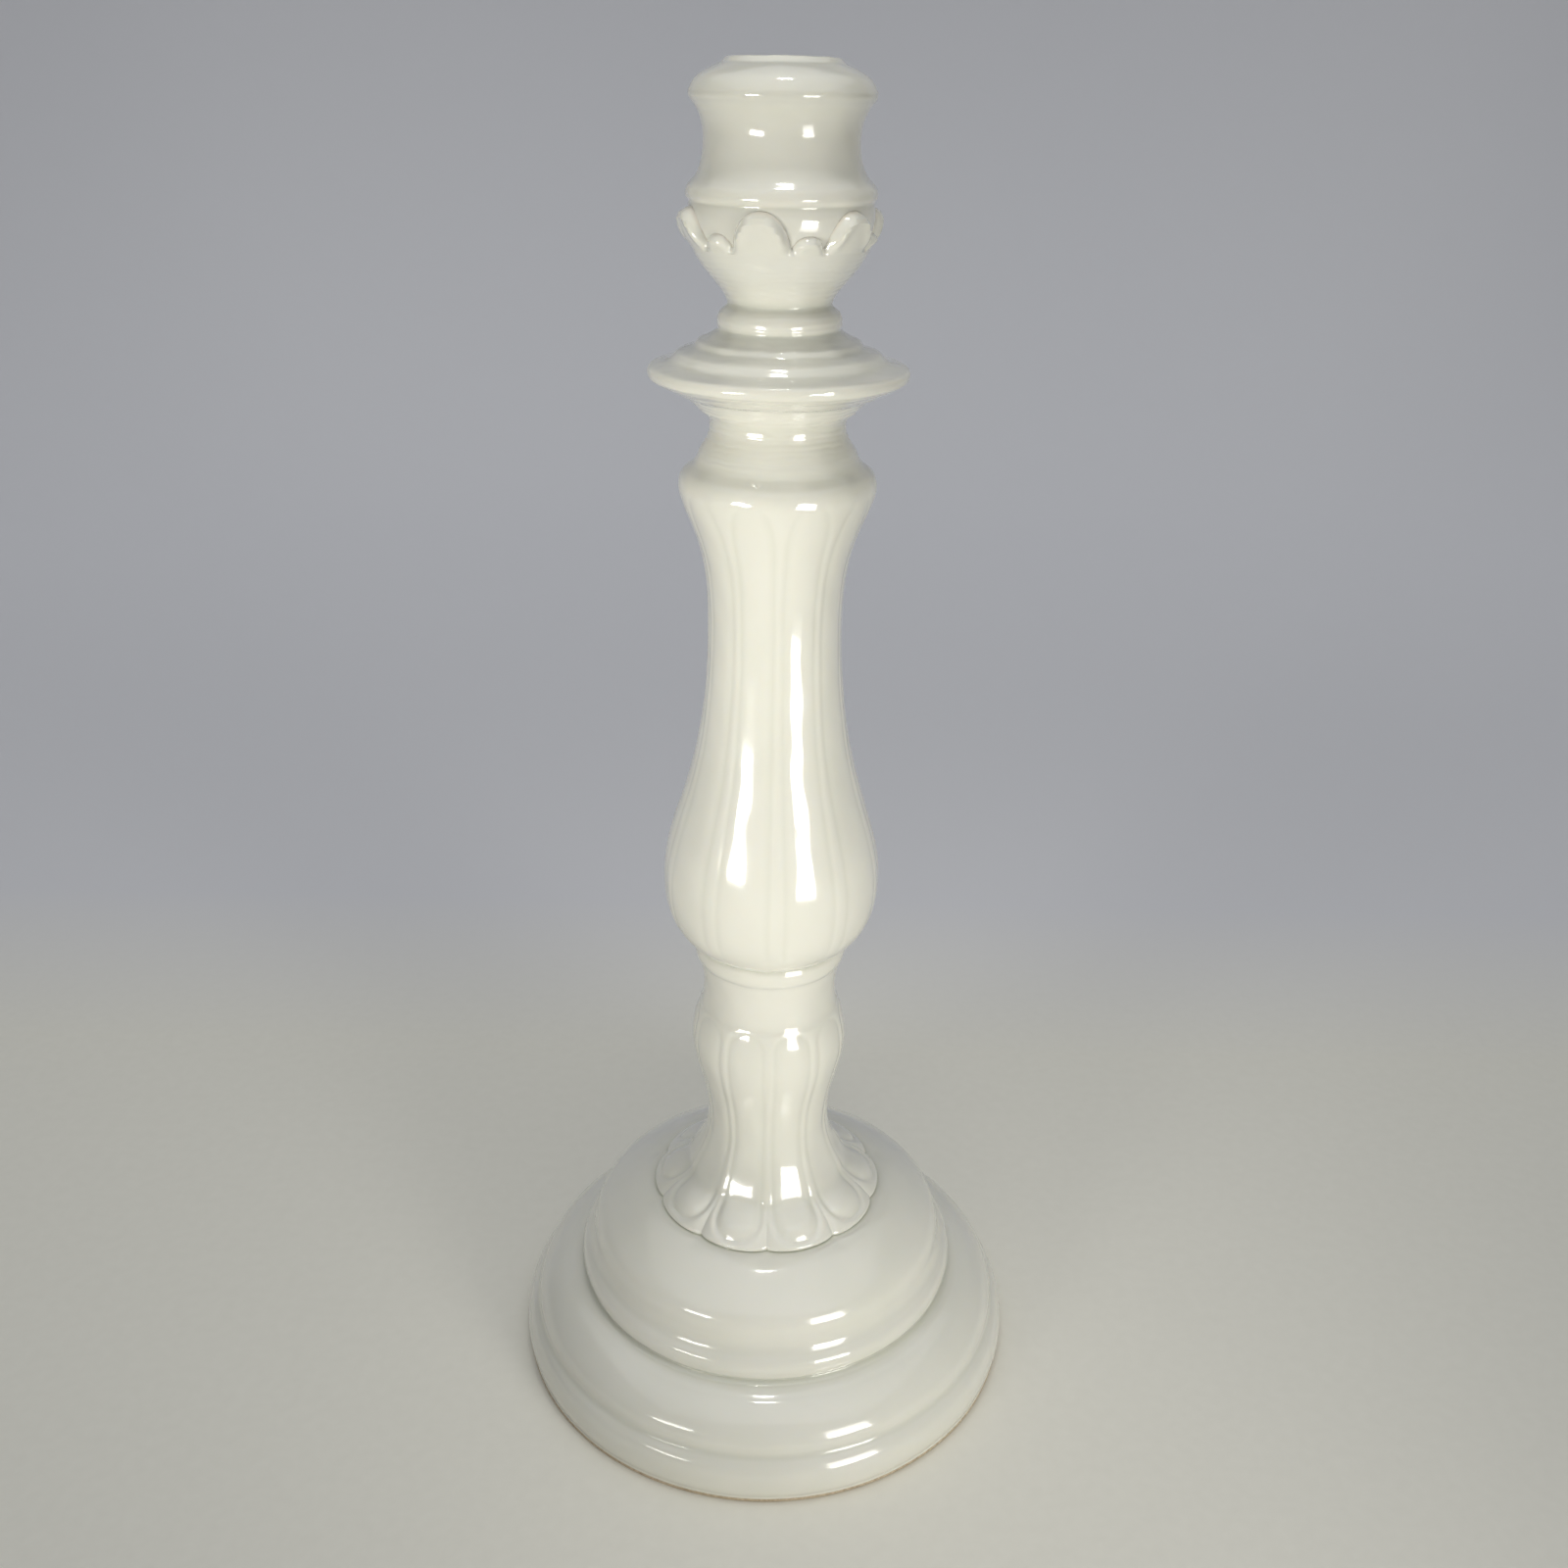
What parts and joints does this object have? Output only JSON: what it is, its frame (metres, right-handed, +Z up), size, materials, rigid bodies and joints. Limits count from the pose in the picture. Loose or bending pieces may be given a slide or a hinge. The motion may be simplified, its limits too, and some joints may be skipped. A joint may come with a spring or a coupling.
{
  "type": "candlestick",
  "caption": "Tall glazed ceramic candlestick: stepped round foot, petalled stem, fluted baluster shaft, drip pan and leaf-cupped socket for one taper candle.",
  "frame": {"origin": "centre of the resting ring, on the surface that the candlestick stands on", "axes": "+Z up along the axis of the candlestick; -Y is the side that the picture shows"},
  "size_m": [0.1464, 0.1464, 0.355],
  "materials": {
    "cream_glaze": "glossy clear lead-type glaze over a cream earthenware body"
  },
  "bodies": {
    "root": {"foot_base": "cream_glaze", "foot_dome": "cream_glaze", "petalled_stem": "cream_glaze", "collar_ring": "cream_glaze", "baluster_shaft": "cream_glaze", "neck": "cream_glaze", "drip_pan": "cream_glaze", "socket_ring": "cream_glaze", "leaf_calyx": "cream_glaze", "candle_cup": "cream_glaze", "rim_cap": "cream_glaze"}
  },
  "joints": []
}
